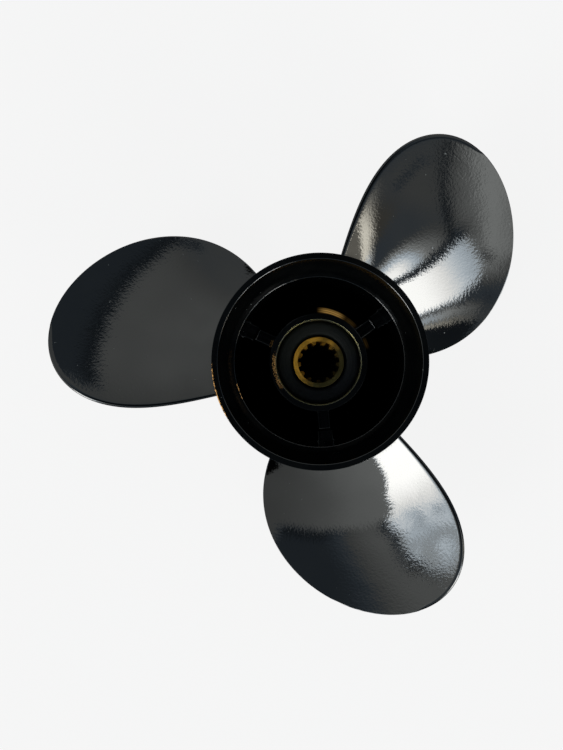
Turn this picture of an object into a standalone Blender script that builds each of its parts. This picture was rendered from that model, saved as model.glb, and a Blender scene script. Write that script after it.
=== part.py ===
"""Three-blade outboard-motor propeller with through-hub exhaust and a rubber slip hub.

Frame: metres, the shaft axis is Z. The plane Z = 0 is the front rim of the barrel, which faces the
gearcase, and +Z runs aft to the flared exhaust ring. Angles are counted from +X about +Z. The blades
give forward thrust when they turn clockwise as seen from aft, so this is a right-hand propeller.

The real casting is one piece. It is carried here as a barrel, a flared ring, an inner hub tube, ribs
and blades, with a small gap between neighbours.
"""

from math import atan, cos, pi, radians, sin, sqrt, tan, tau

import bmesh
import bpy
from mathutils import Matrix, Vector

MM = 0.001
GAP = 0.3  # between neighbouring solids
BLADE_ROOT_GAP = 0.5  # more than GAP, because the flat facets under the root dip inwards by 0.4

# Driving dimensions, in millimetres and degrees.
BLADE_COUNT = 3
TIP_RADIUS = 148.5
PITCH = 280.0
BLADE_HEIGHT_AT_ROOT = 42.0  # Z of the aft face where the blade's middle line leaves the barrel
BLADE_RAKE = 6.0  # aft lean of the blade, in degrees
BLADE_CENTRE_ANGLE = 41.0
BLADE_FULLNESS = (71.0, 0.45, -0.0083, 2.35e-5)  # blade_width's growth inboard from the tip
BLADE_SKEW = (40.5, -5.4, 26.0, -8.8)  # blade_middle's sweep outboard from the barrel
BLADE_ROOT_THICKNESS = 11.0
BLADE_TIP_THICKNESS = 3.6
BLADE_EDGE_THICKNESS = 2.6

BARREL_OUTER_RADIUS = 46.0
BARREL_FRONT_INNER_RADIUS = 41.8
BARREL_AFT_INNER_RADIUS = 43.8
BARREL_NOSE_RADIUS = 44.6  # outer radius of the front rim, which matches the gearcase
BARREL_NOSE_LENGTH = 7.0
FLARE_START = 96.0
OVERALL_LENGTH = 118.0
RING_OUTER_RADIUS = 53.9
RING_INNER_RADIUS = 50.8
RING_LIP = 1.2  # rounding at the aft edge of the ring
FLARE_CURVE = 1.35  # 1 would be a straight cone, and more is a softer start
FLARE_STEPS = 5

TUBE_FRONT = 10.0
TUBE_AFT = 74.0
TUBE_FRONT_RADIUS = 28.2
TUBE_AFT_RADIUS = 26.5
TUBE_BORE_RADIUS = 22.6
TUBE_BEVEL = 0.9

RIB_CENTRE_ANGLE = 35.5
RIB_THICKNESS = 6.8
RIB_FRONT = 12.0
RIB_AFT = 66.0
RIB_STEP_RADIUS = 36.5
RIB_STEP_HEIGHT = 3.0

BUSH_FRONT = 11.5
BUSH_AFT = 72.6
BUSH_CROWN = 0.9
BUSH_OUTER_RADIUS = TUBE_BORE_RADIUS - GAP
SLEEVE_OUTER_RADIUS = 13.7
SLEEVE_FRONT = 8.0
SLEEVE_AFT = 74.2
SLEEVE_CHAMFER = 0.5

SPLINE_TEETH = 13
SPLINE_TIP_RADIUS = 9.53
SPLINE_PITCH_RADIUS = 10.32
SPLINE_ROOT_RADIUS = 11.25
SPLINE_GROOVE_ANGLE = 90.0  # one groove points along +Y
# Half widths of a groove, as shares of the spacing between grooves.
GROOVE_SHARE_AT_TIP = 0.36
GROOVE_SHARE_AT_PITCH = 0.25
GROOVE_SHARE_AT_ROOT = 0.13

ROUND_STEPS = 72
BLADE_STATIONS = 15
BLADE_CHORD_STEPS = 12
BUSH_FACE_STEPS = 4
SHARP_ANGLE = 35.0

# Base colour, roughness and metallic value of each material.
BLACK_PAINT = ((0.012, 0.013, 0.015), 0.18, 0.0)
BARE_BRASS = ((0.45, 0.30, 0.10), 0.38, 1.0)
BLACK_RUBBER = ((0.020, 0.022, 0.024), 0.75, 0.0)


def clear_scene():
    for old in list(bpy.data.objects):
        bpy.data.objects.remove(old, do_unlink=True)


def add_material(name, finish):
    colour, roughness, metallic = finish
    material = bpy.data.materials.new(name)
    material.use_nodes = True
    shader = material.node_tree.nodes["Principled BSDF"]
    shader.inputs["Base Color"].default_value = (*colour, 1.0)
    shader.inputs["Roughness"].default_value = roughness
    shader.inputs["Metallic"].default_value = metallic
    material.diffuse_color = (*colour, 1.0)
    return material


def add_object(name, shape, finish):
    """Turns a bmesh whose units are millimetres into a named object with its own material."""
    bmesh.ops.recalc_face_normals(shape, faces=shape.faces)
    if shape.calc_volume(signed=True) < 0:
        bmesh.ops.reverse_faces(shape, faces=shape.faces)
    shape.transform(Matrix.Scale(MM, 4))
    mesh = bpy.data.meshes.new(name)
    shape.to_mesh(mesh)
    shape.free()
    mesh.shade_smooth()
    mesh.set_sharp_from_angle(angle=radians(SHARP_ANGLE))
    mesh.materials.append(add_material(name, finish))
    made = bpy.data.objects.new(name, mesh)
    bpy.context.scene.collection.objects.link(made)
    return made


def spun(profile):
    """A closed (radius, z) outline turned once round the Z axis."""
    shape = bmesh.new()
    corners = [shape.verts.new((radius, 0.0, z)) for radius, z in profile]
    edges = [shape.edges.new((a, b)) for a, b in zip(corners, corners[1:] + corners[:1])]
    bmesh.ops.spin(
        shape,
        geom=corners + edges,
        cent=(0.0, 0.0, 0.0),
        axis=(0.0, 0.0, 1.0),
        angle=tau,
        steps=ROUND_STEPS,
        use_merge=True,
    )
    bmesh.ops.remove_doubles(shape, verts=shape.verts, dist=1e-3)
    return shape


def lofted(loops):
    """Quads between equal closed loops of points, and the rings of vertices they were made from."""
    shape = bmesh.new()
    rings = [[shape.verts.new(point) for point in loop] for loop in loops]
    count = len(rings[0])
    for lower, upper in zip(rings, rings[1:]):
        for i in range(count):
            after = (i + 1) % count
            shape.faces.new((lower[i], lower[after], upper[after], upper[i]))
    return shape, rings


def cap_with_strip(shape, ring):
    """Closes a long thin loop with short faces from side to side, so that the cap keeps its curve."""
    half = len(ring) // 2
    for i in range(half - 1):
        corners = (ring[i], ring[i + 1], ring[-2 - i], ring[-1 - i])
        face = shape.faces.new(corners)
        bmesh.ops.triangulate(shape, faces=[face], quad_method="SHORT_EDGE")


def turned_about_axis(shape, angle):
    shape.transform(Matrix.Rotation(radians(angle), 4, "Z"))
    return shape


# Barrel and flared ring: one straight tube that ends in a wide, rounded ring.


def barrel():
    top = FLARE_START - GAP / 2
    profile = [
        (BARREL_OUTER_RADIUS, top),
        (BARREL_OUTER_RADIUS, BARREL_NOSE_LENGTH),
        (BARREL_NOSE_RADIUS, 0.0),
        (BARREL_FRONT_INNER_RADIUS, 0.0),
        (BARREL_AFT_INNER_RADIUS, top),
    ]
    return add_object("barrel", spun(profile), BLACK_PAINT)


def flare_radius(start, end, height):
    """The flare leaves the barrel softly and then runs straight outwards."""
    along = height / (OVERALL_LENGTH - FLARE_START)
    return start + (end - start) * along**FLARE_CURVE


def flared_ring():
    bottom = FLARE_START + GAP / 2
    rise = OVERALL_LENGTH - RING_LIP - bottom
    heights = [bottom + rise * i / FLARE_STEPS for i in range(FLARE_STEPS + 1)]
    outer = [
        (flare_radius(BARREL_OUTER_RADIUS, RING_OUTER_RADIUS, z - FLARE_START), z) for z in heights
    ]
    inner = [
        (flare_radius(BARREL_AFT_INNER_RADIUS, RING_INNER_RADIUS, z - FLARE_START), z) for z in heights
    ]
    lip = [
        (RING_OUTER_RADIUS, OVERALL_LENGTH - RING_LIP / 2),
        (RING_OUTER_RADIUS - RING_LIP / 2, OVERALL_LENGTH),
        (RING_INNER_RADIUS + RING_LIP / 2, OVERALL_LENGTH),
    ]
    profile = outer + lip + inner[::-1]
    return add_object("flared_ring", spun(profile), BLACK_PAINT)


# Inner hub tube and the ribs that carry it in the barrel.


def tube_radius(z):
    along = (z - TUBE_FRONT) / (TUBE_AFT - TUBE_FRONT)
    return TUBE_FRONT_RADIUS + (TUBE_AFT_RADIUS - TUBE_FRONT_RADIUS) * along


def barrel_inner_radius(z):
    along = z / FLARE_START
    return BARREL_FRONT_INNER_RADIUS + (BARREL_AFT_INNER_RADIUS - BARREL_FRONT_INNER_RADIUS) * along


def inner_hub_tube():
    profile = [
        (TUBE_AFT_RADIUS, TUBE_AFT),
        (TUBE_FRONT_RADIUS, TUBE_FRONT),
        (TUBE_BORE_RADIUS + TUBE_BEVEL, TUBE_FRONT),
        (TUBE_BORE_RADIUS, TUBE_FRONT + TUBE_BEVEL),
        (TUBE_BORE_RADIUS, TUBE_AFT - TUBE_BEVEL),
        (TUBE_BORE_RADIUS + TUBE_BEVEL, TUBE_AFT),
    ]
    return add_object("inner_hub_tube", spun(profile), BLACK_PAINT)


def rib(number):
    """A flat rib along the axis, with a raised step at its aft end beside the barrel wall."""
    step_top = RIB_AFT + RIB_STEP_HEIGHT
    wall_gap = 2 * GAP
    outline = [
        (tube_radius(RIB_FRONT) + GAP, RIB_FRONT),
        (barrel_inner_radius(RIB_FRONT) - wall_gap, RIB_FRONT),
        (barrel_inner_radius(step_top) - wall_gap, step_top),
        (RIB_STEP_RADIUS + RIB_STEP_HEIGHT / 2, step_top),
        (RIB_STEP_RADIUS, RIB_AFT),
        (tube_radius(RIB_AFT) + GAP, RIB_AFT),
    ]
    sides = (-RIB_THICKNESS / 2, RIB_THICKNESS / 2)
    shape, rings = lofted([[(radius, side, z) for radius, z in outline] for side in sides])
    for ring in rings:
        shape.faces.new(ring)
    angle = RIB_CENTRE_ANGLE + 360.0 * (number - 1) / BLADE_COUNT
    return add_object(f"rib_{number}", turned_about_axis(shape, angle), BLACK_PAINT)


# Blades: sections laid out on cylinders round the shaft. The aft face is a raked helix of constant
# pitch, and all of the thickness is in front of it.


def polynomial(factors, x):
    return sum(factor * x**power for power, factor in enumerate(factors))


def outboard_share(radius):
    return (radius - BARREL_OUTER_RADIUS) / (TIP_RADIUS - BARREL_OUTER_RADIUS)


def blade_width(radius):
    """Angle that the section spans round the shaft. It closes like a circle's end at the tip."""
    inboard = TIP_RADIUS - radius
    return sqrt(inboard * polynomial(BLADE_FULLNESS, inboard))


def blade_middle(radius):
    """Angle of the section's middle, which sweeps back towards the trailing edge near the tip."""
    return polynomial(BLADE_SKEW, outboard_share(radius))


def blade_thickness(radius, across):
    """Thickness at the place across the blade, from -1 at the leading edge to 1 at the trailing edge."""
    thinning = (BLADE_ROOT_THICKNESS - BLADE_TIP_THICKNESS) * sqrt(outboard_share(radius))
    middle = BLADE_ROOT_THICKNESS - thinning
    return BLADE_EDGE_THICKNESS + (middle - BLADE_EDGE_THICKNESS) * (1.0 - across**2)


def blade_point(radius, across, depth):
    """A point of the first blade: on its aft face, or as far in front of that face as depth says."""
    angle = radians(blade_middle(radius) + across * blade_width(radius) / 2)
    height = BLADE_HEIGHT_AT_ROOT + tan(radians(BLADE_RAKE)) * (radius - BARREL_OUTER_RADIUS)
    height += PITCH * (angle - radians(BLADE_CENTRE_ANGLE)) / tau
    slope = atan(PITCH / (tau * radius))
    angle += depth * sin(slope) / radius
    height -= depth * cos(slope)
    return Vector((radius * cos(angle), radius * sin(angle), height))


def blade_section(radius):
    """One closed loop: along the aft face to the trailing edge, and back along the front face."""
    places = [2 * i / BLADE_CHORD_STEPS - 1 for i in range(BLADE_CHORD_STEPS + 1)]
    aft = [blade_point(radius, across, 0.0) for across in places]
    front = [blade_point(radius, x, blade_thickness(radius, x)) for x in reversed(places)]
    return aft + front


def blade(number):
    root = BARREL_OUTER_RADIUS + BLADE_ROOT_GAP
    tip_cut = 0.02  # the last section stops this far from the tip, where the width would be zero
    span = TIP_RADIUS - tip_cut - root
    shares = [i / (BLADE_STATIONS - 1) for i in range(BLADE_STATIONS)]
    radii = [root + span * (1.0 - (1.0 - share) ** 2) for share in shares]
    shape, rings = lofted([blade_section(radius) for radius in radii])
    cap_with_strip(shape, rings[0])
    cap_with_strip(shape, rings[-1])
    angle = 360.0 * (number - 1) / BLADE_COUNT
    return add_object(f"blade_{number}", turned_about_axis(shape, angle), BLACK_PAINT)


# Slip hub: the rubber bush and the splined brass sleeve inside it.


def cushion_bush():
    """A rubber cylinder whose squeezed ends bulge a little between tube and sleeve."""
    inner = SLEEVE_OUTER_RADIUS + GAP
    shares = [i / BUSH_FACE_STEPS for i in range(BUSH_FACE_STEPS + 1)]
    aft = [
        (BUSH_OUTER_RADIUS + (inner - BUSH_OUTER_RADIUS) * s, BUSH_AFT + BUSH_CROWN * sin(pi * s))
        for s in shares
    ]
    front = [
        (inner + (BUSH_OUTER_RADIUS - inner) * s, BUSH_FRONT - BUSH_CROWN * sin(pi * s)) for s in shares
    ]
    return add_object("cushion_bush", spun(aft + front), BLACK_RUBBER)


def spline_outline():
    """Corners of the splined bore: each tooth narrows from the root circle to the tip circle."""
    spacing = tau / SPLINE_TEETH
    corners = []
    for groove in range(SPLINE_TEETH):
        middle = radians(SPLINE_GROOVE_ANGLE) + groove * spacing
        for radius, share in (
            (SPLINE_TIP_RADIUS, -GROOVE_SHARE_AT_TIP),
            (SPLINE_PITCH_RADIUS, -GROOVE_SHARE_AT_PITCH),
            (SPLINE_ROOT_RADIUS, -GROOVE_SHARE_AT_ROOT),
            (SPLINE_ROOT_RADIUS, GROOVE_SHARE_AT_ROOT),
            (SPLINE_PITCH_RADIUS, GROOVE_SHARE_AT_PITCH),
            (SPLINE_TIP_RADIUS, GROOVE_SHARE_AT_TIP),
        ):
            angle = middle + share * spacing
            corners.append((radius * cos(angle), radius * sin(angle)))
    return corners


def spline_sleeve():
    """A brass sleeve: a chamfered cylinder outside, and the splined bore right through it."""
    bore = spline_outline()
    count = len(bore)
    start = radians(SPLINE_GROOVE_ANGLE) - GROOVE_SHARE_AT_TIP * tau / SPLINE_TEETH
    angles = [start + tau * i / count for i in range(count)]
    outer_rings = (
        (SLEEVE_OUTER_RADIUS - SLEEVE_CHAMFER, SLEEVE_FRONT),
        (SLEEVE_OUTER_RADIUS, SLEEVE_FRONT + SLEEVE_CHAMFER),
        (SLEEVE_OUTER_RADIUS, SLEEVE_AFT - SLEEVE_CHAMFER),
        (SLEEVE_OUTER_RADIUS - SLEEVE_CHAMFER, SLEEVE_AFT),
    )
    loops = [[(x, y, SLEEVE_FRONT) for x, y in bore]]
    loops += [[(r * cos(a), r * sin(a), z) for a in angles] for r, z in outer_rings]
    loops.append([(x, y, SLEEVE_AFT) for x, y in bore])
    shape, rings = lofted(loops)
    for i in range(count):
        after = (i + 1) % count
        shape.faces.new((rings[-1][i], rings[-1][after], rings[0][after], rings[0][i]))
    return add_object("spline_sleeve", shape, BARE_BRASS)


def main():
    clear_scene()
    slip_axis = bpy.data.objects.new("hub_slip_axis", None)
    bpy.context.scene.collection.objects.link(slip_axis)
    casting = [barrel(), flared_ring(), inner_hub_tube()]
    for number in range(1, BLADE_COUNT + 1):
        casting += [rib(number), blade(number)]
    for piece in casting:
        piece.parent = slip_axis
    cushion_bush()
    spline_sleeve()


main()
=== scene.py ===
# Looks of a three-blade outboard propeller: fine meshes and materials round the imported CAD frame.
#
# Sizes are in millimetres and angles in degrees. Z is the shaft axis, the front rim stands on Z = 0,
# and the flared exhaust ring is on top. Sizes that the CAD nodes hold are read from their boxes.

from math import atan, cos, degrees, hypot, pi, radians, sin, sqrt, tan, tau

import bmesh
import bpy
from mathutils import Matrix, Vector


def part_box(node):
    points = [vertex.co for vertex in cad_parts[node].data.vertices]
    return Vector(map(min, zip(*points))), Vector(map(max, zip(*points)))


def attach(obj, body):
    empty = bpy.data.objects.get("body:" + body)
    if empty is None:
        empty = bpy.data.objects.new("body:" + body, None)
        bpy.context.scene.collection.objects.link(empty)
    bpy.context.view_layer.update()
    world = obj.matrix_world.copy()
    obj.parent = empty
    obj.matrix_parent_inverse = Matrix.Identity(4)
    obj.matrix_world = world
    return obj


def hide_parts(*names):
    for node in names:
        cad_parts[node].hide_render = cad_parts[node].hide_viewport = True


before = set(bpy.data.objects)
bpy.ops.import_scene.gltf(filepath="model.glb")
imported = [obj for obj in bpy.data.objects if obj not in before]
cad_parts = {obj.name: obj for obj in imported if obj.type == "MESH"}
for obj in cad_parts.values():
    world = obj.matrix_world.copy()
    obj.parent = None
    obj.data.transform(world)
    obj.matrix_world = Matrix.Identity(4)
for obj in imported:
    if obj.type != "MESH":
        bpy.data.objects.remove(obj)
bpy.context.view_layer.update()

MM = 0.001


def top_of(node):
    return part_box(node)[1].z / MM


def bottom_of(node):
    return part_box(node)[0].z / MM


def radius_of(node):
    """Outer radius of a round node, from its reach along X, where its outline has a corner."""
    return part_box(node)[1].x / MM


BLADE_COUNT = 3
ROUND_STEPS = 288
CORNER_STEPS = 6

OVERALL_LENGTH = top_of("flared_ring")
RING_OUTER_RADIUS = radius_of("flared_ring")
RING_INNER_RADIUS = RING_OUTER_RADIUS - 3.1
BARREL_OUTER_RADIUS = radius_of("barrel")
BARREL_FRONT_INNER_RADIUS = BARREL_OUTER_RADIUS - 4.2
BARREL_AFT_INNER_RADIUS = BARREL_OUTER_RADIUS - 2.2
FLARE_START = 96.0

TUBE_FRONT = bottom_of("inner_hub_tube")
TUBE_AFT = top_of("inner_hub_tube")
TUBE_FRONT_RADIUS = radius_of("inner_hub_tube")
TUBE_AFT_RADIUS = TUBE_FRONT_RADIUS - 1.7
TUBE_BORE_RADIUS = 22.6

RIB_CENTRE_ANGLE = 35.5
RIB_THICKNESS = 6.8
RIB_FRONT = bottom_of("rib_1")
RIB_AFT = top_of("rib_1") - 3.0
RIB_STEP_RADIUS = 36.8

BUSH_FRONT = bottom_of("cushion_bush") + 0.9
BUSH_AFT = top_of("cushion_bush") - 0.9
SLEEVE_FRONT = bottom_of("spline_sleeve")
SLEEVE_AFT = top_of("spline_sleeve")
SLEEVE_OUTER_RADIUS = 13.7
SPLINE_TEETH = 13
SPLINE_TIP_RADIUS = 9.53
SPLINE_ROOT_RADIUS = 11.25

# Where warm glints are painted on as coppery specks, on the side where light catches the lip, the throat,
# the tube's edge and a rib: radius range and its softness, height range, middle angle and half angle.
GLINT_LIP = (
    (RING_OUTER_RADIUS - 0.6, RING_OUTER_RADIUS + 1.0, 0.3),
    (OVERALL_LENGTH - 3.0, OVERALL_LENGTH + 1.0),
    197.0,
    20.0,
)
GLINT_THROAT = (
    (BARREL_AFT_INNER_RADIUS - 0.3, BARREL_AFT_INNER_RADIUS + 0.8, 0.3),
    (FLARE_START, FLARE_START + 2.0),
    200.0,
    7.0,
)
GLINT_TUBE_EDGE = (
    (TUBE_BORE_RADIUS - 2.6, TUBE_BORE_RADIUS + 3.2, 3.0),
    (TUBE_AFT - 3.0, TUBE_AFT + 1.0),
    192.0,
    30.0,
)
GLINT_RIB_END = (
    (TUBE_AFT_RADIUS + 0.3, TUBE_AFT_RADIUS + 2.0, 0.3),
    (RIB_AFT - 2.0, RIB_AFT + 1.0),
    158.0,
    6.0,
)
GLINT_PATCHES = (GLINT_LIP, GLINT_THROAT, GLINT_TUBE_EDGE, GLINT_RIB_END)

# The blades follow the same laws as the CAD blades. Their tips stop a hair short, inside the CAD box.
# A section's width, in degrees round the shaft and squared, is its distance from the tip times the
# fullness polynomial of that distance. Its middle angle is the skew polynomial of the span's share.
TIP_RADIUS = 148.42
PITCH = 280.0
BLADE_HEIGHT_AT_ROOT = 42.0
BLADE_RAKE = 6.0
BLADE_CENTRE_ANGLE = 41.0
BLADE_FULLNESS = (71.0, 0.45, -0.0083, 2.35e-5)
BLADE_SKEW = (40.5, -5.4, 26.0, -8.8)
BLADE_ROOT_THICKNESS = 11.0
BLADE_TIP_THICKNESS = 3.6
BLADE_EDGE_THICKNESS = 2.6
ROOT_FILLET = 6.0

# Base colours of the materials, in linear red, green and blue.
CLEAN_PAINT = (0.0003, 0.0004, 0.0005)
GRIMY_PAINT = (0.001, 0.0011, 0.0011)
DUST = (0.06, 0.065, 0.065)
# A painted warm glint, laid on the black paint in specks.
COPPER_GLINT = (0.48, 0.25, 0.08)
SHADED_TARNISHED_BRASS = (0.055, 0.045, 0.016)
LIT_GOLDEN_BRASS = (0.62, 0.31, 0.038)
PALE_BEVEL = (0.24, 0.21, 0.085)
GREENISH_BEVEL = (0.12, 0.12, 0.085)
SHADED_CLEAN_RUBBER = (0.0002, 0.0008, 0.0017)
LIT_DUSTY_RUBBER = (0.0062, 0.0070, 0.0052)

# Specular levels of the paint: full outside, and lowered on the ribs and inside the flare, as painted shade
# that darkens their reflections.
FULL_GLOSS = 0.5
RIB_GLOSS = 0.25
FLARE_GLOSS = 0.03

# The studio: heights of its two sheets, and how bright the floor and the backdrop look.
FLOOR_HEIGHT = -0.5
DARK_DISC_HEIGHT = -0.1
FLOOR_LEVEL = 0.87
BACKDROP_LEVEL = 0.905

# Colours of the studio's light, which its levels are multiplied by.
WHITE = (1.0, 1.0, 1.0)
NEUTRAL_TINT = (1.0, 1.02, 0.97)
COOL_TINT = (0.77, 1.0, 1.24)
SOFTBOX_TINT = (1.01, 1.01, 0.98)
LAMP_TINT = (1.08, 1.03, 0.88)
TABLE_TINT = (1.2, 0.97, 0.75)
# The glow of the painted golden glints on the shade disc.
GOLDEN_LIGHT = (0.20, 0.115, 0.03)

# The camera: place and lens in millimetres, tilt in degrees, and shift in shares of the frame.
CAMERA_PLACE = (-11.8, -3.9, 596.9)
CAMERA_TILT = (0.47, -1.80, 0.0)
CAMERA_LENS = 46.61
CAMERA_SHIFT = (-0.061, -0.018)


# Mesh tools.


def add_piece(name, shape, body, nodes, materials, weighted=False):
    """Makes a piece out of a bmesh in millimetres, and ties it to the frame."""
    bmesh.ops.remove_doubles(shape, verts=shape.verts, dist=1e-4)
    bmesh.ops.recalc_face_normals(shape, faces=shape.faces)
    if shape.calc_volume(signed=True) < 0:
        bmesh.ops.reverse_faces(shape, faces=shape.faces)
    shape.transform(Matrix.Scale(MM, 4))
    mesh = bpy.data.meshes.new(name)
    shape.to_mesh(mesh)
    shape.free()
    mesh.shade_smooth()
    mesh.set_sharp_from_angle(angle=radians(38))
    for material in materials:
        mesh.materials.append(material)
    piece = bpy.data.objects.new(name, mesh)
    bpy.context.scene.collection.objects.link(piece)
    if weighted:
        piece.modifiers.new("flat_faces_stay_flat", "WEIGHTED_NORMAL").keep_sharp = True
    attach(piece, body)
    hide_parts(*nodes)


def add_cast_piece(name, node, shape, materials, weighted=False):
    """Makes a piece of the painted casting, which stands for one CAD node."""
    add_piece(name, shape, "casting", [node], materials, weighted)


def rounded(corners, steps=CORNER_STEPS):
    """An outline through (x, y, reach) corners, each rounded from reach before it to reach after it."""
    outline = []
    for i, (x, y, reach) in enumerate(corners):
        corner = Vector((x, y))
        if reach == 0:
            outline.append(corner)
            continue
        start = corner + (Vector(corners[i - 1][:2]) - corner).normalized() * reach
        end = corner + (Vector(corners[(i + 1) % len(corners)][:2]) - corner).normalized() * reach
        for step in range(steps + 1):
            t = step / steps
            outline.append(start * (1 - t) ** 2 + corner * 2 * t * (1 - t) + end * t**2)
    return outline


def lofted(loops, closed):
    """Quads between equal loops of points. The last loop joins the first if closed, or both get a cap."""
    shape = bmesh.new()
    rings = [[shape.verts.new(point) for point in loop] for loop in loops]
    count = len(rings[0])
    pairs = list(zip(rings, rings[1:]))
    if closed:
        pairs.append((rings[-1], rings[0]))
    for lower, upper in pairs:
        for i in range(count):
            after = (i + 1) % count
            shape.faces.new((lower[i], lower[after], upper[after], upper[i]))
    if not closed:
        for ring in (rings[0], rings[-1]):
            cap_with_strip(shape, ring)
    return shape


def cap_with_strip(shape, ring):
    """Closes a loop with faces that run straight from one of its sides to the other."""
    half = len(ring) // 2
    for i in range(half - 1):
        shape.faces.new((ring[i], ring[i + 1], ring[-2 - i], ring[-1 - i]))


def turned(outline):
    """A closed (radius, z) outline turned round the Z axis."""
    loops = []
    for step in range(ROUND_STEPS):
        angle = tau * step / ROUND_STEPS
        loops.append([(point[0] * cos(angle), point[0] * sin(angle), point[1]) for point in outline])
    return lofted(loops, closed=True)


def polynomial(factors, x):
    return sum(factor * x**power for power, factor in enumerate(factors))


def smooth_step(start, end, x):
    share = min(max((x - start) / (end - start), 0.0), 1.0)
    return share * share * (3 - 2 * share)


def fillet_growth(reach, distance):
    """How far a surface has moved out at a distance from the wall that a round fillet runs into."""
    inside = min(max(distance, 0.0), reach)
    return reach - sqrt(reach**2 - (reach - inside) ** 2)


# Shader tools.


class Signal:
    """A shader value that can be added and multiplied, so that a node tree reads like a formula."""

    def __init__(self, tree, source):
        self.tree = tree
        self.source = source

    def run(self, operation, *others):
        node = self.tree.nodes.new("ShaderNodeMath")
        node.operation = operation
        for socket, value in zip(node.inputs, (self, *others)):
            feed(self.tree, value, socket)
        return Signal(self.tree, node.outputs["Value"])

    def __add__(self, other):
        return self.run("ADD", other)

    def __sub__(self, other):
        return self.run("SUBTRACT", other)

    def __mul__(self, other):
        return self.run("MULTIPLY", other)

    def __rsub__(self, other):
        return (self * -1.0) + other

    __radd__ = __add__

    def rise(self, start, end, low=0.0, high=1.0):
        """Goes smoothly from low to high as the value goes from start to end."""
        node = self.tree.nodes.new("ShaderNodeMapRange")
        node.interpolation_type = "SMOOTHSTEP"
        for name, value in zip(("From Min", "From Max", "To Min", "To Max"), (start, end, low, high)):
            feed(self.tree, value, node.inputs[name])
        feed(self.tree, self, node.inputs["Value"])
        return Signal(self.tree, node.outputs["Result"])

    def fall(self, start, end, high=1.0, low=0.0):
        """Goes smoothly from high to low as the value goes from start to end."""
        return self.rise(start, end, high, low)

    def over(self, start):
        """How far the value is above start, and 0 below it."""
        return (self - start).run("MAXIMUM", 0.0)

    def within(self, low, high, softness):
        """1 between low and high, and 0 outside them."""
        half = softness / 2
        return self.rise(low - half, low + half) * self.fall(high - half, high + half)

    def facing(self, middle):
        """For an angle in degrees: 1 at middle, falling like a cosine to -1 on the opposite side."""
        return ((self - middle) * radians(1)).run("COSINE")


def feed(tree, value, socket):
    """Links a signal to a socket, or sets a plain number on it."""
    if isinstance(value, Signal):
        tree.links.new(value.source, socket)
    else:
        socket.default_value = value


def new_material(name, colour, roughness, metallic=0.0):
    """A new material, its node tree and its shader. Signals that are linked later take over."""
    material = bpy.data.materials.new(name)
    material.use_nodes = True
    shader = material.node_tree.nodes["Principled BSDF"]
    shader.inputs["Base Color"].default_value = (*colour, 1.0)
    shader.inputs["Roughness"].default_value = roughness
    shader.inputs["Metallic"].default_value = metallic
    return material, material.node_tree, shader


def object_place(tree):
    """Place on the object, in metres."""
    return tree.nodes.new("ShaderNodeTexCoord").outputs["Object"]


def noise(tree, place, scale, detail=2.0, roughness=0.5):
    """Soft noise from 0 to 1, with about scale patches along one unit of place."""
    node = tree.nodes.new("ShaderNodeTexNoise")
    node.inputs["Scale"].default_value = scale
    node.inputs["Detail"].default_value = detail
    node.inputs["Roughness"].default_value = roughness
    tree.links.new(place, node.inputs["Vector"])
    return Signal(tree, node.outputs["Fac"])


def bump(tree, shader, height, distance):
    """Adds a bump over any that the shader already has. Distance is in metres."""
    node = tree.nodes.new("ShaderNodeBump")
    node.inputs["Distance"].default_value = distance
    feed(tree, height, node.inputs["Height"])
    normal = shader.inputs["Normal"]
    if normal.is_linked:
        tree.links.new(normal.links[0].from_socket, node.inputs["Normal"])
    tree.links.new(node.outputs["Normal"], normal)


def mixed_colour(tree, share, first, second):
    """The colour first where share is 0, and second where it is 1."""
    node = tree.nodes.new("ShaderNodeMix")
    node.data_type = "RGBA"
    feed(tree, share, node.inputs["Factor"])
    for value, socket in ((first, node.inputs["A"]), (second, node.inputs["B"])):
        if isinstance(value, tuple):
            socket.default_value = (*value, 1.0)
        else:
            tree.links.new(value, socket)
    return node.outputs["Result"]


def split(tree, vector):
    """The x, y and z of a vector."""
    node = tree.nodes.new("ShaderNodeSeparateXYZ")
    tree.links.new(vector, node.inputs["Vector"])
    return [Signal(tree, node.outputs[name]) for name in "XYZ"]


def height_radius_and_angle(tree, place):
    """Z and the distance from the shaft axis in millimetres, and the angle round it in degrees."""
    x, y, z = split(tree, place)
    radius = (x * x + y * y).run("SQRT") * (1 / MM)
    angle = y.run("ARCTAN2", x) * degrees(1)
    return z * (1 / MM), radius, angle


# Materials.


def gloss_black_paint(name, gloss):
    """Thick black paint, with the fine ripple of the cast surface under it and a few dust specks."""
    material, tree, shader = new_material(name, (0.0006, 0.0007, 0.0008), 0.03)
    place = object_place(tree)
    shader.inputs["Specular IOR Level"].default_value = gloss
    specks = noise(tree, place, 700.0, detail=0.0).rise(0.87, 0.90)
    grime = noise(tree, place, 55.0, detail=4.0, roughness=0.6)
    tint = mixed_colour(tree, grime.rise(0.35, 0.75), CLEAN_PAINT, GRIMY_PAINT)
    colour = mixed_colour(tree, specks, tint, DUST)
    tree.links.new(colour, shader.inputs["Base Color"])
    haze = noise(tree, place, 130.0, detail=3.0)
    feed(tree, haze.rise(0.3, 0.8, 0.02, 0.05) + specks * 0.3, shader.inputs["Roughness"])
    waves = noise(tree, place, 60.0, detail=1.0)
    bump(tree, shader, waves, 6e-5)
    ripple = noise(tree, place, 700.0, detail=2.0, roughness=0.6)
    bump(tree, shader, ripple, 2.5e-5)
    return material


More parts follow.
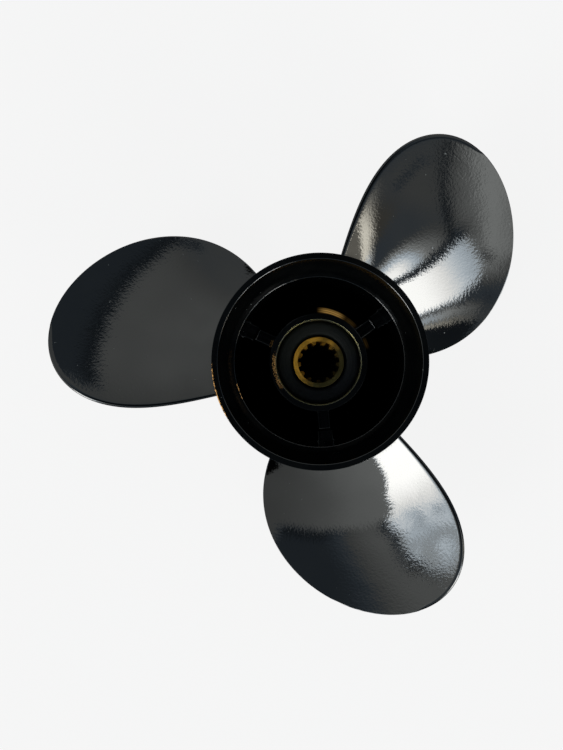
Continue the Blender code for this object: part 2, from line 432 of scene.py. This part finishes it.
def glinting_paint(name, gloss):
    """The same paint, with painted glints: coppery specks where the rings, the tube's edge and a rib catch
    warm light.
    """
    material = gloss_black_paint(name, gloss)
    tree = material.node_tree
    shader = tree.nodes["Principled BSDF"]
    place = object_place(tree)
    z, radius, angle = height_radius_and_angle(tree, place)
    glints = 0.0
    for radius_range, height_range, middle_angle, half_angle in GLINT_PATCHES:
        edge = cos(radians(half_angle * 1.3))
        full = cos(radians(half_angle * 0.5))
        sector = angle.facing(middle_angle).rise(edge, full)
        glints = sector * radius.within(*radius_range) * z.within(*height_range, 0.3) + glints
    grain = noise(tree, place, 1300.0, detail=3.0, roughness=0.7)
    # The grain alone stays under the threshold, so the paint stays black outside the painted glints.
    glinting = (grain + glints * 0.6).rise(1.02, 1.18)
    painted = shader.inputs["Base Color"].links[0].from_socket
    # The coppery colour here is a painted glint, not bare metal.
    colour = mixed_colour(tree, glinting, painted, COPPER_GLINT)
    tree.links.new(colour, shader.inputs["Base Color"])
    return material


def machined_brass():
    """Turned brass: fine rings round the axis, dulled in patches, and painted lighter and more golden on
    one side as painted light.
    """
    material, tree, shader = new_material("machined_brass", (0.5, 0.35, 0.12), 0.3, metallic=1.0)
    place = object_place(tree)
    _, radius, angle = height_radius_and_angle(tree, place)
    tarnish = noise(tree, place, 160.0, detail=4.0, roughness=0.6)
    # Painted light: the side towards 140 degrees is painted lighter and more golden. The noise adds tarnish
    # in patches.
    lit_side_and_tarnish = angle.facing(140.0) * 0.5 + tarnish
    colour = mixed_colour(tree, lit_side_and_tarnish.rise(0.2, 1.0), SHADED_TARNISHED_BRASS, LIT_GOLDEN_BRASS)
    tree.links.new(colour, shader.inputs["Base Color"])
    feed(tree, tarnish.rise(0.3, 0.75, 0.36, 0.52), shader.inputs["Roughness"])
    rings = (radius * 26.0 + tarnish * 3.0).run("SINE") * 0.5 + 0.5
    bump(tree, shader, rings, 4e-6)
    return material


def bare_bevel():
    """The cut bevel at the tube's mouth, where the paint was machined away."""
    material, tree, shader = new_material("bare_bevel", (0.3, 0.26, 0.14), 0.45, metallic=1.0)
    place = object_place(tree)
    patches = noise(tree, place, 120.0, detail=3.0)
    colour = mixed_colour(tree, patches.rise(0.35, 0.7), PALE_BEVEL, GREENISH_BEVEL)
    tree.links.new(colour, shader.inputs["Base Color"])
    scratches = noise(tree, place, 1500.0, detail=2.0)
    bump(tree, shader, scratches, 8e-6)
    return material


def moulded_rubber():
    """Matte moulded rubber with faint flow rings and a dusty bloom, painted lighter on one side as painted
    light.
    """
    material, tree, shader = new_material("moulded_rubber", (0.004, 0.005, 0.005), 0.7)
    shader.inputs["Specular IOR Level"].default_value = 0.12
    place = object_place(tree)
    _, radius, angle = height_radius_and_angle(tree, place)
    bloom = noise(tree, place, 210.0, detail=5.0, roughness=0.65)
    # Painted light: the side towards 120 degrees is painted lighter. The noise adds a dusty bloom.
    bloom_and_lit_side = angle.facing(120.0) * 0.32 + bloom
    colour = mixed_colour(tree, bloom_and_lit_side.rise(0.15, 0.9), SHADED_CLEAN_RUBBER, LIT_DUSTY_RUBBER)
    tree.links.new(colour, shader.inputs["Base Color"])
    feed(tree, bloom.rise(0.3, 0.75, 0.6, 0.8), shader.inputs["Roughness"])
    rings = (radius * 4.2 + bloom * 2.0).run("SINE") * 0.5 + 0.5
    bump(tree, shader, rings, 3e-5)
    grain = noise(tree, place, 2600.0, detail=2.0)
    bump(tree, shader, grain, 1.5e-5)
    return material


# The casting.


def flare_radius(height):
    """Outer radius of the flare at a height above the front rim. It opens faster towards the lip."""
    along = min(max((height - FLARE_START) / (OVERALL_LENGTH - FLARE_START), 0.0), 1.0)
    return BARREL_OUTER_RADIUS + (RING_OUTER_RADIUS - BARREL_OUTER_RADIUS) * along**1.35


def barrel(paint):
    """The straight part of the barrel, with a rounded nose at its front rim and a bore that widens aft."""
    nose_length = 8.0
    nose_taper = 1.4
    blade_level = 40.0
    bore_narrow_end = 32.0
    bore_wide_start = 78.0
    outline = rounded([
        (BARREL_OUTER_RADIUS, FLARE_START, 0),
        (BARREL_OUTER_RADIUS, blade_level, 0),
        (BARREL_OUTER_RADIUS, nose_length, 4.0),
        (BARREL_OUTER_RADIUS - nose_taper, 0.0, 0.9),
        (BARREL_FRONT_INNER_RADIUS, 0.0, 0.8),
        (BARREL_FRONT_INNER_RADIUS + 0.7, bore_narrow_end, 0),
        (BARREL_AFT_INNER_RADIUS - 0.4, bore_wide_start, 0),
        (BARREL_AFT_INNER_RADIUS, FLARE_START, 0),
    ])
    add_cast_piece("cast_barrel", "barrel", turned(outline), [paint], weighted=True)


def flared_ring(paint, inside_paint):
    """The flare: a chamfered edge at the end of the bore, a smooth cone and a rounded lip."""
    ledge = 0.35
    ledge_height = 0.5
    lip_height = 1.2
    steps = 14
    cone_length = OVERALL_LENGTH - lip_height - FLARE_START
    heights = [FLARE_START + cone_length * i / steps for i in range(steps + 1)]
    outer = [(flare_radius(z), z, 0) for z in heights]
    lip = [
        (RING_OUTER_RADIUS, OVERALL_LENGTH, 0.2),
        (RING_INNER_RADIUS, OVERALL_LENGTH, 0.4),
    ]
    throat = [
        (BARREL_AFT_INNER_RADIUS + ledge, FLARE_START + ledge_height, 0.05),
        (BARREL_AFT_INNER_RADIUS, FLARE_START + ledge_height, 0.3),
        (BARREL_AFT_INNER_RADIUS, FLARE_START, 0),
    ]
    shape = turned(rounded(outer + lip + throat))
    # The inside of the cone takes the shaded copy of the paint, whose low specular level is painted shade.
    inside_limit = RING_INNER_RADIUS - 0.5
    inside_bottom = FLARE_START + 1.0
    for face in shape.faces:
        centre = face.calc_center_median()
        if hypot(centre.x, centre.y) < inside_limit and centre.z > inside_bottom:
            face.material_index = 1
    add_cast_piece("cast_flare", "flared_ring", shape, [paint, inside_paint], weighted=True)


def inner_hub_tube(paint, bevel):
    """The tube that holds the rubber. Its bevelled mouth and its bore are bare metal."""
    mouth = 0.6
    outline = rounded([
        (TUBE_AFT_RADIUS, TUBE_AFT, 0.45),
        (TUBE_FRONT_RADIUS, TUBE_FRONT, 0.8),
        (TUBE_BORE_RADIUS + mouth, TUBE_FRONT, 0.2),
        (TUBE_BORE_RADIUS, TUBE_FRONT + mouth, 0.2),
        (TUBE_BORE_RADIUS, TUBE_AFT - mouth, 0.2),
        (TUBE_BORE_RADIUS + mouth, TUBE_AFT, 0.2),
    ])
    shape = turned(outline)
    bare_limit = TUBE_BORE_RADIUS + mouth
    for face in shape.faces:
        centre = face.calc_center_median()
        if hypot(centre.x, centre.y) < bare_limit:
            face.material_index = 1
    add_cast_piece("cast_hub_tube", "inner_hub_tube", shape, [paint, bevel], weighted=True)


def rib(number, paint):
    """A rib between tube and barrel, with a raised step by the barrel wall and a fillet at each end."""
    inner_end = TUBE_AFT_RADIUS - 0.5
    outer_end = BARREL_AFT_INNER_RADIUS
    wall = BARREL_AFT_INNER_RADIUS - 0.7
    wall_fillet = 1.6
    tube_fillet = 1.2
    step_height = 2.2
    step_widening = 0.9
    steps = 44
    loops = []
    for i in range(steps + 1):
        radius = inner_end + (outer_end - inner_end) * i / steps
        share = smooth_step(RIB_STEP_RADIUS - 0.5, RIB_STEP_RADIUS + 0.5, radius)
        half = RIB_THICKNESS / 2 + step_widening * share
        half += fillet_growth(wall_fillet, wall - radius)
        half += fillet_growth(tube_fillet, radius - TUBE_AFT_RADIUS)
        top = RIB_AFT + step_height * share
        outline = rounded([
            (-half, RIB_FRONT, 0.8),
            (-half, top, 0.9),
            (half, top, 0.9),
            (half, RIB_FRONT, 0.8),
        ], steps=4)
        loops.append([(radius, side, z) for side, z in outline])
    shape = lofted(loops, closed=False)
    angle = radians(RIB_CENTRE_ANGLE) + tau * (number - 1) / BLADE_COUNT
    shape.transform(Matrix.Rotation(angle, 4, "Z"))
    add_cast_piece(f"cast_rib_{number}", f"rib_{number}", shape, [paint])


def outboard_share(radius):
    """0 at the barrel's surface and 1 at the blade's tip."""
    return (radius - BARREL_OUTER_RADIUS) / (TIP_RADIUS - BARREL_OUTER_RADIUS)


def blade_slope(radius):
    """Angle between the helix and the plane across the shaft."""
    return atan(PITCH / (tau * radius))


def half_chord(radius):
    """Half of the section's length along its helix."""
    inboard = max(TIP_RADIUS - radius, 0.0)
    width = radians(sqrt(inboard * polynomial(BLADE_FULLNESS, inboard)))
    return radius * width / 2 / cos(blade_slope(radius))


def edge_distance(radius, half, along):
    """Distance from a place on the face to the blade's outline, to first order."""
    step = 0.01
    growth = (half_chord(radius) ** 2 - half_chord(radius - step) ** 2) / step
    return max(half**2 - along**2, 0.0) / sqrt(4 * along**2 + growth**2 + 1e-9)


def blade_point(radius, along, depth):
    """A point at a place along the helix from the section's middle, and depth in front of the aft face."""
    slope = blade_slope(radius)
    angle = radians(polynomial(BLADE_SKEW, outboard_share(radius))) + along * cos(slope) / radius
    height = BLADE_HEIGHT_AT_ROOT + tan(radians(BLADE_RAKE)) * (radius - BARREL_OUTER_RADIUS)
    height += PITCH * (angle - radians(BLADE_CENTRE_ANGLE)) / tau
    angle += depth * sin(slope) / radius
    height -= depth * cos(slope)
    return (radius * cos(angle), radius * sin(angle), height)


def blade_section(radius, fillet):
    """A closed loop round the section, whose edges are round and which grows by the fillet at the root."""
    chord_steps = 60
    leading_edge_reach = 0.4
    trailing_edge_reach = 2.3
    crown_reach = 4.0
    half = half_chord(radius) + fillet
    rounding = BLADE_EDGE_THICKNESS / 2 + fillet
    thinning = (BLADE_ROOT_THICKNESS - BLADE_TIP_THICKNESS) * sqrt(max(outboard_share(radius), 0.0))
    crown = BLADE_ROOT_THICKNESS - thinning - BLADE_EDGE_THICKNESS
    aft = []
    front = []
    for i in range(chord_steps + 1):
        across = sin(pi * (i / chord_steps - 0.5))
        along = half * across
        distance = edge_distance(radius, half, along)
        growth = (trailing_edge_reach - leading_edge_reach) * smooth_step(-0.3, 0.5, across)
        reach = fillet + leading_edge_reach + growth
        short = max(1.0 - distance / reach, 0.0)
        curl = rounding * (1.0 - sqrt(1.0 - short**2))
        bulge = crown * (1.0 - across**2) * distance / (distance + crown_reach)
        thickness = BLADE_EDGE_THICKNESS + bulge
        aft.append(blade_point(radius, along, curl - fillet))
        front.append(blade_point(radius, along, thickness + fillet - curl))
    return aft + front[::-1]


def blade(number, paint):
    """One blade, from just inside the barrel's surface to its tip."""
    sunk = 0.3
    tip_gap = 0.002
    fillet_steps = 12
    span_steps = 76
    stations = [(BARREL_OUTER_RADIUS - sunk, ROOT_FILLET)]
    for i in range(fillet_steps):
        turn = pi / 2 * i / fillet_steps
        radius = BARREL_OUTER_RADIUS + ROOT_FILLET * (1 - cos(turn))
        stations.append((radius, ROOT_FILLET * (1 - sin(turn))))
    start = BARREL_OUTER_RADIUS + ROOT_FILLET
    span = TIP_RADIUS - tip_gap - start
    for i in range(span_steps + 1):
        stations.append((start + span * (1 - (1 - i / span_steps) ** 2), 0.0))
    shape = lofted([blade_section(radius, fillet) for radius, fillet in stations], closed=False)
    shape.transform(Matrix.Rotation(tau * (number - 1) / BLADE_COUNT, 4, "Z"))
    add_cast_piece(f"cast_blade_{number}", f"blade_{number}", shape, [paint])


# The slip hub.


def cushion_bush(rubber):
    """The rubber bush, whose end faces bulge and turn down into a crease at the tube and at the sleeve."""
    gap = 0.15
    outer = TUBE_BORE_RADIUS - gap
    inner = SLEEVE_OUTER_RADIUS + gap
    crown = 0.9
    crease = 2.2
    crease_width = 2.0
    steps = 22
    face = []
    for i in range(steps + 1):
        share = i / steps
        radius = outer + (inner - outer) * share
        edge = min(radius - inner, outer - radius)
        dip = crease * max(1.0 - edge / crease_width, 0.0) ** 2
        face.append((radius, crown * sin(pi * share) - dip))
    aft = [(radius, BUSH_AFT + rise) for radius, rise in face]
    front = [(radius, BUSH_FRONT - rise) for radius, rise in reversed(face)]
    shape = turned(aft + front)
    add_piece("rubber_bush", shape, "slip_hub", ["cushion_bush"], [rubber])


def spline_radius(angle):
    """Radius of the splined bore at an angle: flat roots and tips joined by sloping flanks."""
    flank_start = 0.19
    flank_end = 0.33
    share = abs((angle / tau * SPLINE_TEETH - SPLINE_TEETH / 4 + 0.5) % 1.0 - 0.5)
    tooth = smooth_step(flank_start, flank_end, share)
    return SPLINE_ROOT_RADIUS + (SPLINE_TIP_RADIUS - SPLINE_ROOT_RADIUS) * tooth


def spline_sleeve(brass):
    """The brass sleeve, with a countersunk mouth where the splines begin at each end."""
    spline_steps = SPLINE_TEETH * 24
    mouth = SPLINE_ROOT_RADIUS - SPLINE_TIP_RADIUS
    chamfer = 0.5
    levels = 7
    angles = [tau * i / spline_steps for i in range(spline_steps)]

    def bore_loop(z, depth):
        """A loop of (radius, z). The countersink is 0 deep at its mouth and 1 where it ends."""
        cone = SPLINE_TIP_RADIUS + mouth * (1.0 - depth)
        return [(max(spline_radius(a), cone), z) for a in angles]

    loops = []
    for i in range(levels + 1):
        loops.append(bore_loop(SLEEVE_FRONT + mouth * i / levels, i / levels))
    for i in range(levels + 1):
        loops.append(bore_loop(SLEEVE_AFT - mouth * (levels - i) / levels, 1 - i / levels))
    outside = [
        (SLEEVE_OUTER_RADIUS - chamfer, SLEEVE_AFT),
        (SLEEVE_OUTER_RADIUS - chamfer * 0.3, SLEEVE_AFT - chamfer * 0.3),
        (SLEEVE_OUTER_RADIUS, SLEEVE_AFT - chamfer),
        (SLEEVE_OUTER_RADIUS, SLEEVE_FRONT + chamfer),
        (SLEEVE_OUTER_RADIUS - chamfer * 0.3, SLEEVE_FRONT + chamfer * 0.3),
        (SLEEVE_OUTER_RADIUS - chamfer, SLEEVE_FRONT),
    ]
    loops += [[corner] * spline_steps for corner in outside]
    points = [[(r * cos(a), r * sin(a), z) for (r, z), a in zip(loop, angles)] for loop in loops]
    shape = lofted(points, closed=True)
    add_piece("brass_sleeve", shape, "slip_hub", ["spline_sleeve"], [brass], weighted=True)


# Studio: the floor, the surroundings that the gloss reflects, and the camera.
#
# The surroundings are painted by direction, so the numbers in them are angles in degrees and light
# levels with plain white as 1. Azimuth and elevation are a direction's angles. Turn is the azimuth,
# but it runs on past 180 on the left.


def stage_sheet(name, outline, height):
    """A flat sheet that belongs to the stage and not to the object."""
    mesh = bpy.data.meshes.new(name)
    mesh.from_pydata([(x * MM, y * MM, height * MM) for x, y in outline], [], [range(len(outline))])
    sheet = bpy.data.objects.new(name, mesh)
    bpy.context.scene.collection.objects.link(sheet)
    return sheet


def floor():
    """A pale, evenly lit floor, just under the front rim. The gloss reflects the studio and not it."""
    half = 3000.0
    corners = [(-half, -half), (half, -half), (half, half), (-half, half)]
    sheet = stage_sheet("studio_floor", corners, FLOOR_HEIGHT)
    sheet.visible_glossy = False
    sheet.visible_diffuse = False
    material, _, shader = new_material("pale_floor", (0.03, 0.03, 0.03), 1.0)
    shader.inputs["Specular IOR Level"].default_value = 0.0
    shader.inputs["Emission Color"].default_value = (*WHITE, 1.0)
    shader.inputs["Emission Strength"].default_value = FLOOR_LEVEL
    sheet.data.materials.append(material)


def seen_by_camera(tree):
    """1 for rays that come straight from the camera, and 0 for reflections and bounced light."""
    return Signal(tree, tree.nodes.new("ShaderNodeLightPath").outputs["Is Camera Ray"])


def painted_shade_disc():
    """A matt black disc of painted shade for the bore and the passages, with painted golden glints beside
    the tube that glow for the camera only.
    """
    reach = BARREL_FRONT_INNER_RADIUS + 1.2
    angles = [tau * i / ROUND_STEPS for i in range(ROUND_STEPS)]
    outline = [(reach * cos(a), reach * sin(a)) for a in angles]
    sheet = stage_sheet("painted_shade_disc", outline, DARK_DISC_HEIGHT)
    material, tree, shader = new_material("painted_shade_disc", (0.0, 0.0, 0.0), 1.0)
    shader.inputs["Specular IOR Level"].default_value = 0.0
    place = object_place(tree)
    _, radius, angle = height_radius_and_angle(tree, place)
    drift = noise(tree, place, 70.0, detail=2.0)
    streaks = (radius * 5.5 + drift * 6.0).run("SINE").rise(-1.0, 1.0, 0.4, 1.0)
    brightest = angle.within(61.0, 84.0, 12.0) * 1.3
    fainter = angle.within(44.0, 56.0, 8.0) * 0.12 + angle.within(17.0, 27.0, 6.0) * 0.08
    patches = radius.within(31.2, 34.0, 1.4) * (brightest + fainter) * streaks
    # The emission is a painted glint, which only the camera sees.
    shader.inputs["Emission Color"].default_value = (*GOLDEN_LIGHT, 1.0)
    feed(tree, patches * seen_by_camera(tree), shader.inputs["Emission Strength"])
    sheet.data.materials.append(material)


def walls_and_ceiling(turn, elevation, unevenness):
    """White walls up to a sharp edge, with a dark ceiling above them on two sides."""
    back_wall = turn.within(0.0, 230.0, 16.0) * 0.18 + turn.within(54.0, 97.0, 16.0) * 0.3
    left_wall = turn.rise(155.0, 225.0) * turn.fall(225.0, 240.0) * 1.8
    right_wall = turn.within(-42.0, -18.0, 6.0) * elevation.rise(38.0, 46.0) * 0.15
    doorway = turn.within(-12.0, 20.0, 4.0) * 0.4
    walls = (0.62 + back_wall + left_wall + right_wall - doorway) * unevenness

    arch = turn.facing(95.0).run("MAXIMUM", 0.0).run("POWER", 3.3)
    above_edge = elevation - (arch * 7.5 + 41.8)
    ceiling = above_edge.rise(0.5, 3.5, 0.1, 0.3) + (turn - elevation).rise(136.0, 156.0) * 1.2
    ceiling_here = turn.within(48.0, 98.0, 2.0) + turn.within(166.0, 240.0, 4.0)
    share = above_edge.rise(-0.8, 0.8) * ceiling_here
    room = walls * (1.0 - share) + ceiling * share
    return room * elevation.rise(4.0, 18.0, 0.1, 1.0) * elevation.fall(57.0, 72.0, 1.0, 0.06)


def left_box_edge(elevation):
    """Where the left softbox begins: an uneven edge that leans away near its top."""
    edge = elevation.fall(29.0, 36.0, 209.5, 207.0) - elevation.within(41.0, 45.0, 3.0) * 3.0
    return edge + elevation.over(48.0).run("POWER", 1.85) * 0.3


def left_softbox(turn, elevation, cloth):
    """A tall softbox that is brightest low down and mottled higher up."""
    bright = elevation.fall(32.0, 48.0, 21.5, 7.0) * elevation.fall(54.0, 57.0) * elevation.rise(14.0, 20.0)
    mottle = 1.0 + (cloth - 1.0) * elevation.rise(38.0, 46.0)
    return bright * mottle * (turn - left_box_edge(elevation)).rise(-0.7, 1.0) * turn.fall(226.5, 231.0)


def seam_side(azimuth, elevation):
    """Degrees to the right of the curved seam between the right softboxes."""
    return azimuth - ((elevation - 33.0).run("POWER", 2.0) * 0.016 - 47.3)


def rail_side(azimuth, elevation):
    """Degrees above the thin dark rail that climbs from the seam's top."""
    along = azimuth + 43.0
    return elevation - (along * 0.25 + along * along * 0.0105 + 44.3)


def right_softboxes(azimuth, elevation):
    """Two softboxes side by side with a dark seam between them, and two thin streaks on their left."""
    seam = seam_side(azimuth, elevation)
    left_edge = azimuth - (elevation.over(34.0).run("POWER", 2.0) * 0.05 - 65.5)
    first = elevation.fall(26.0, 56.0) * elevation.fall(45.2, 47.0) * 21.5
    first = first * left_edge.rise(-1.0, 1.6) * seam.fall(-2.5, -1.3)
    right_edge = azimuth + elevation * 0.2
    second = elevation.fall(22.0, 38.0) * 17.0 + elevation.fall(37.0, 45.0) * 2.0
    second = second * seam.rise(0.8, 2.6) * right_edge.fall(-36.5, -27.5)
    streaks = azimuth.within(-71.0, -67.5, 2.0) * 5.5 + azimuth.within(-73.2, -72.0, 0.8) * 6.0
    return first + second + streaks * elevation.fall(24.0, 47.0)


def narrow_lamp(azimuth, elevation):
    """A leaning lamp to the right of the softboxes, with a dim spill beside it."""
    left_side = azimuth - ((elevation - 24.0) * 0.5 - 24.5)
    right_side = azimuth - (elevation.run("MINIMUM", 31.0) * 0.6 - 34.1)
    bright = elevation.fall(28.0, 40.0) * 9.0 + elevation.fall(38.0, 49.0) * 2.0
    lamp = left_side.rise(-3.0, 2.6) * right_side.fall(-0.8, 0.8) * bright
    spill = right_side.rise(-0.8, 0.8) * azimuth.fall(-13.0, -9.0) * elevation.fall(24.0, 36.0) * 1.3
    return lamp + spill


def glow_above_softboxes(azimuth, elevation):
    """A bright ridge over the softboxes and a haze above the rail."""
    ridge_side = elevation - ((azimuth + 50.0) * 0.3 + 49.2)
    ridge = ridge_side.rise(-1.8, 0.3) * ridge_side.fall(0.8, 7.0) * azimuth.within(-60.0, -25.0, 8.0) * 1.8
    haze = rail_side(azimuth, elevation).rise(0.0, 5.0) * azimuth.within(-56.0, -22.0, 6.0) * 1.1
    return (ridge + haze) * elevation.fall(57.0, 70.0)


def dark_marks(azimuth, turn, elevation):
    """Share of light that is left where stands, seams and gaps between the lights are dark."""
    slope = elevation - ((azimuth + 75.0) * 0.55 + 40.6)
    gap = azimuth.within(-110.0, -73.4, 1.6) * slope.fall(-0.8, 0.8) * 0.8
    cord = slope.within(-0.5, 0.5, 0.8) * azimuth.within(-76.0, -65.5, 1.0) * 0.5
    post = seam_side(azimuth, elevation).within(-1.6, 1.3, 0.8) * elevation.fall(45.5, 50.0) * 0.5
    rail = rail_side(azimuth, elevation).within(-0.7, 0.7, 0.6) * azimuth.within(-44.0, -20.0, 1.0) * 0.85
    arc = azimuth.within(-22.4, -20.8, 1.0) * elevation.within(43.0, 51.0, 2.0) * 0.55
    clamp = azimuth.within(-55.8, -52.5, 0.8) * elevation.within(47.0, 48.8, 0.6) * 0.75
    bent = elevation - (azimuth - 4.8)
    hook = bent.within(-1.2, 1.2, 1.0) * azimuth.within(43.6, 50.0, 1.0) * 0.65
    beside_box = turn - left_box_edge(elevation)
    edge = beside_box.within(-3.0, -0.3, 1.2) * elevation.within(42.0, 55.0, 2.0) * 0.72
    knot = beside_box.within(-4.2, -0.5, 1.2) * elevation.within(51.6, 53.6, 0.8) * 0.3
    return 1.0 - (gap + cord + post + rail + arc + clamp + hook + edge + knot).run("MINIMUM", 0.95)


def light_above_horizon(tree, direction, azimuth, turn, elevation):
    """Level of the light from the walls and the lamps, less what their stands hide."""
    unevenness = noise(tree, direction, 2.6, detail=2.0).rise(0.3, 0.7, 0.92, 1.08)
    cloth = noise(tree, direction, 19.0, detail=4.0).rise(0.36, 0.64, 0.5, 1.3)
    walls = walls_and_ceiling(turn, elevation, unevenness)
    right_lights = right_softboxes(azimuth, elevation) + narrow_lamp(azimuth, elevation)
    right_lights = right_lights * elevation.rise(12.0, 19.0)
    lights = left_softbox(turn, elevation, cloth) + right_lights + glow_above_softboxes(azimuth, elevation)
    return (walls + lights) * dark_marks(azimuth, turn, elevation)


def light_tint(tree, level, azimuth, elevation, horizon):
    """Cool where the light is dim or fades, warm at two lamps and on the table, and else neutral."""
    plain = level.rise(0.5, 0.85, 0.1, 0.9) * level.fall(3.5, 7.0, 1.0, 0.55)
    tint = mixed_colour(tree, plain, COOL_TINT, NEUTRAL_TINT)
    tint = mixed_colour(tree, level.rise(8.0, 17.0), tint, SOFTBOX_TINT)
    lamps = azimuth.within(-26.0, -14.0, 4.0) + azimuth.within(-73.4, -71.8, 0.8)
    tint = mixed_colour(tree, lamps * elevation.fall(34.0, 44.0), tint, LAMP_TINT)
    return mixed_colour(tree, horizon, TABLE_TINT, tint)


def surroundings():
    """The painted world that lights the piece. The camera itself sees a plain pale backdrop."""
    world = bpy.data.worlds.new("studio")
    world.use_nodes = True
    tree = world.node_tree
    background = tree.nodes["Background"]
    direction = tree.nodes.new("ShaderNodeTexCoord").outputs["Generated"]
    x, y, z = split(tree, direction)
    azimuth = y.run("ARCTAN2", x) * degrees(1)
    elevation = z.run("ARCSINE") * degrees(1)
    turn = azimuth + azimuth.run("LESS_THAN", -120.0) * 360.0

    above = light_above_horizon(tree, direction, azimuth, turn, elevation)
    table = turn.within(178.0, 214.0, 8.0) * 0.12 + 0.04
    horizon = elevation.rise(-4.0, 2.0)
    level = above * horizon + table * (1.0 - horizon)
    tint = light_tint(tree, level, azimuth, elevation, horizon)
    seen = seen_by_camera(tree)
    tree.links.new(mixed_colour(tree, seen, tint, WHITE), background.inputs["Color"])
    feed(tree, level * (1.0 - seen) + seen * BACKDROP_LEVEL, background.inputs["Strength"])
    world.cycles.sampling_method = "MANUAL"
    world.cycles.sample_map_resolution = 2048
    bpy.context.scene.world = world
    bpy.context.scene.view_settings.view_transform = "Standard"


def camera():
    """Looks down the shaft from aft, a little to one side. The shift puts the hub off the middle."""
    data = bpy.data.cameras.new("camera")
    data.lens = CAMERA_LENS
    data.shift_x, data.shift_y = CAMERA_SHIFT
    viewer = bpy.data.objects.new("camera", data)
    viewer.location = Vector(CAMERA_PLACE) * MM
    viewer.rotation_euler = [radians(angle) for angle in CAMERA_TILT]
    bpy.context.scene.collection.objects.link(viewer)
    bpy.context.scene.camera = viewer


def main():
    camera()
    paint = gloss_black_paint("gloss_black_paint", FULL_GLOSS)
    glint_paint = glinting_paint("glinting_paint", FULL_GLOSS)
    glint_rib_paint = glinting_paint("glinting_rib_paint", RIB_GLOSS)
    shaded_paint = gloss_black_paint("shaded_paint", FLARE_GLOSS)
    barrel(paint)
    flared_ring(glint_paint, shaded_paint)
    inner_hub_tube(glint_paint, bare_bevel())
    for number in range(1, BLADE_COUNT + 1):
        rib(number, glint_rib_paint)
        blade(number, paint)
    cushion_bush(moulded_rubber())
    spline_sleeve(machined_brass())
    floor()
    painted_shade_disc()
    surroundings()


main()
